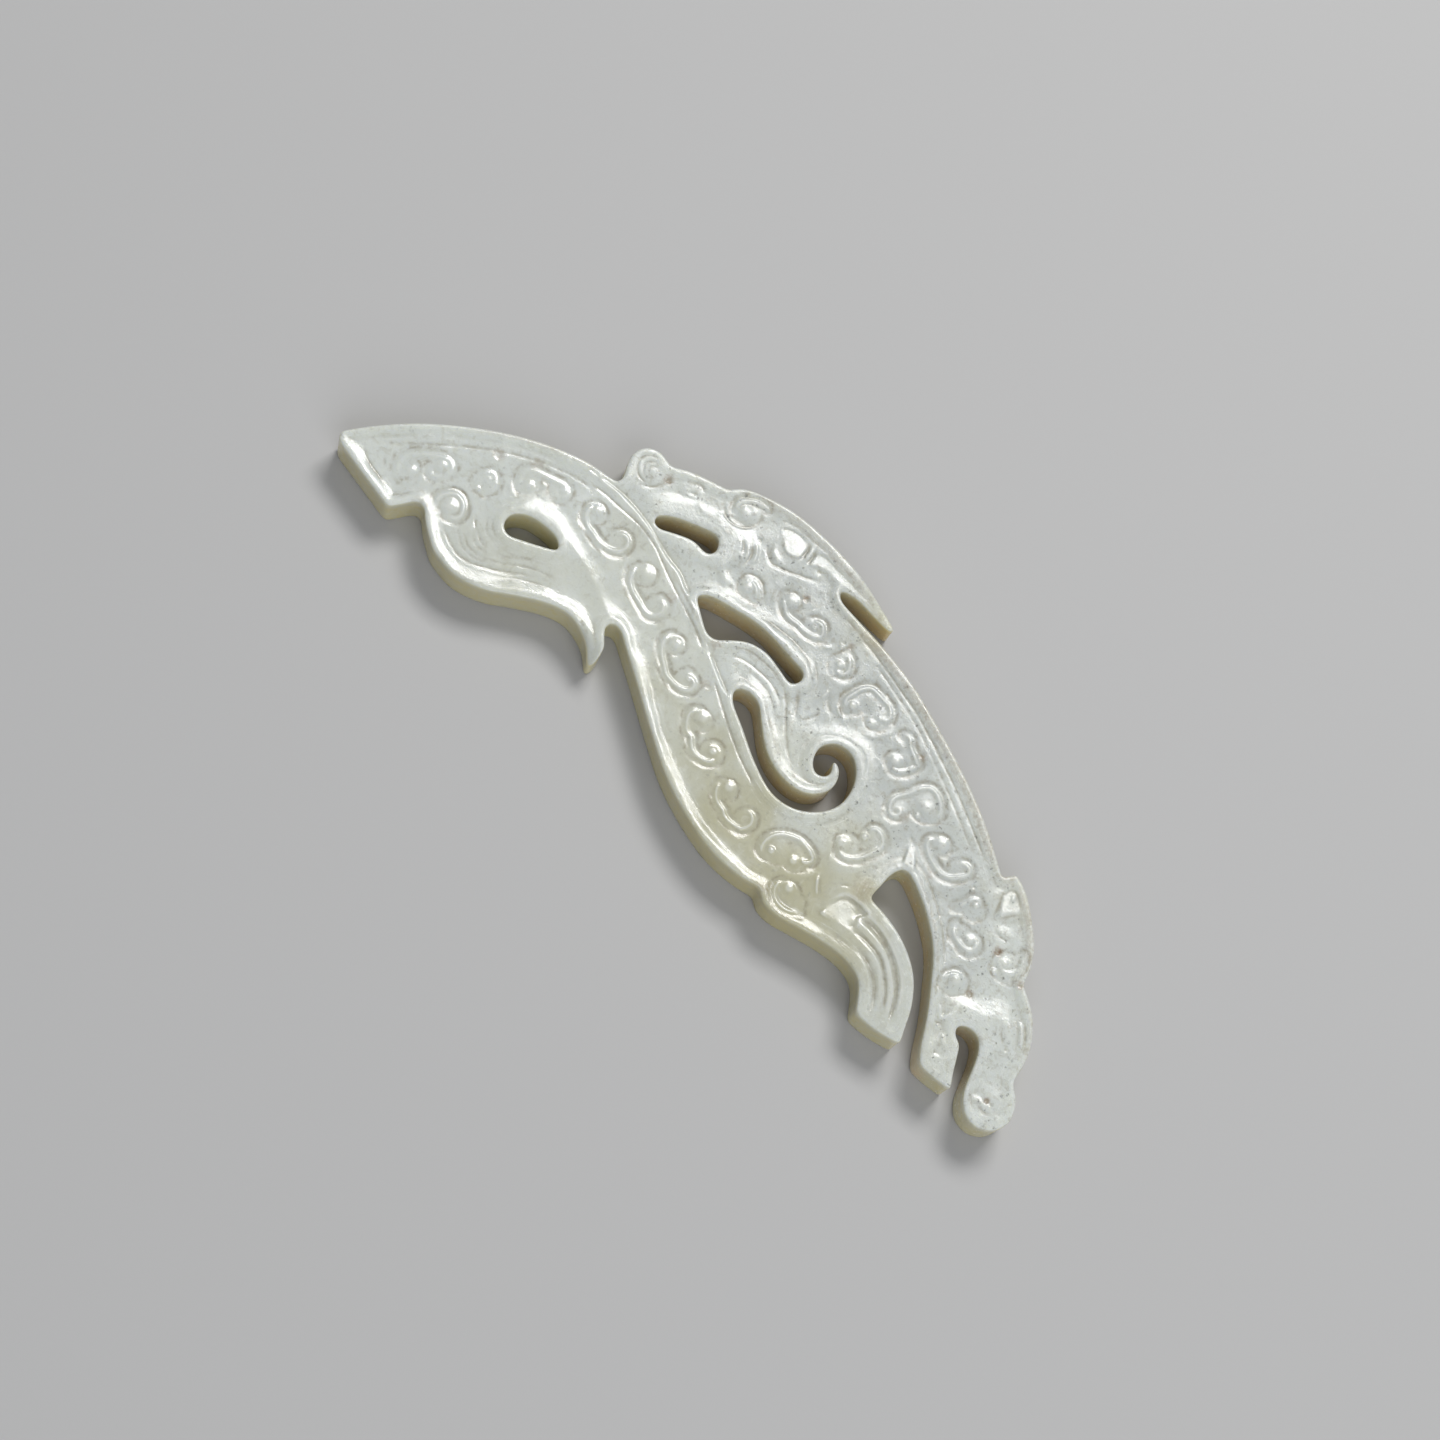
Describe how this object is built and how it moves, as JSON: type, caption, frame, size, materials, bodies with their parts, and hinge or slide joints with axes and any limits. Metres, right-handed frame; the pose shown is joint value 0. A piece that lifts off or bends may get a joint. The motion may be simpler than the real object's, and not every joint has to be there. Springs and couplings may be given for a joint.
{
  "type": "jade huang pendant",
  "caption": "Arc-shaped openwork stone plaque with carved dragon heads, a scrolling S-shaped band, pierced slots and a plain flat back.",
  "frame": {"origin": "centre of the plaque's bounding box in plan, on its plain back face", "axes": "+X along the arc's chord, from the cut tail to the dragon's snout; +Y towards the arc's convex edge; +Z out of the carved face"},
  "size_m": [0.1064, 0.0362, 0.005],
  "materials": {
    "jade": "polished, softly translucent"
  },
  "bodies": {
    "root": {"plaque": "jade"}
  },
  "joints": []
}
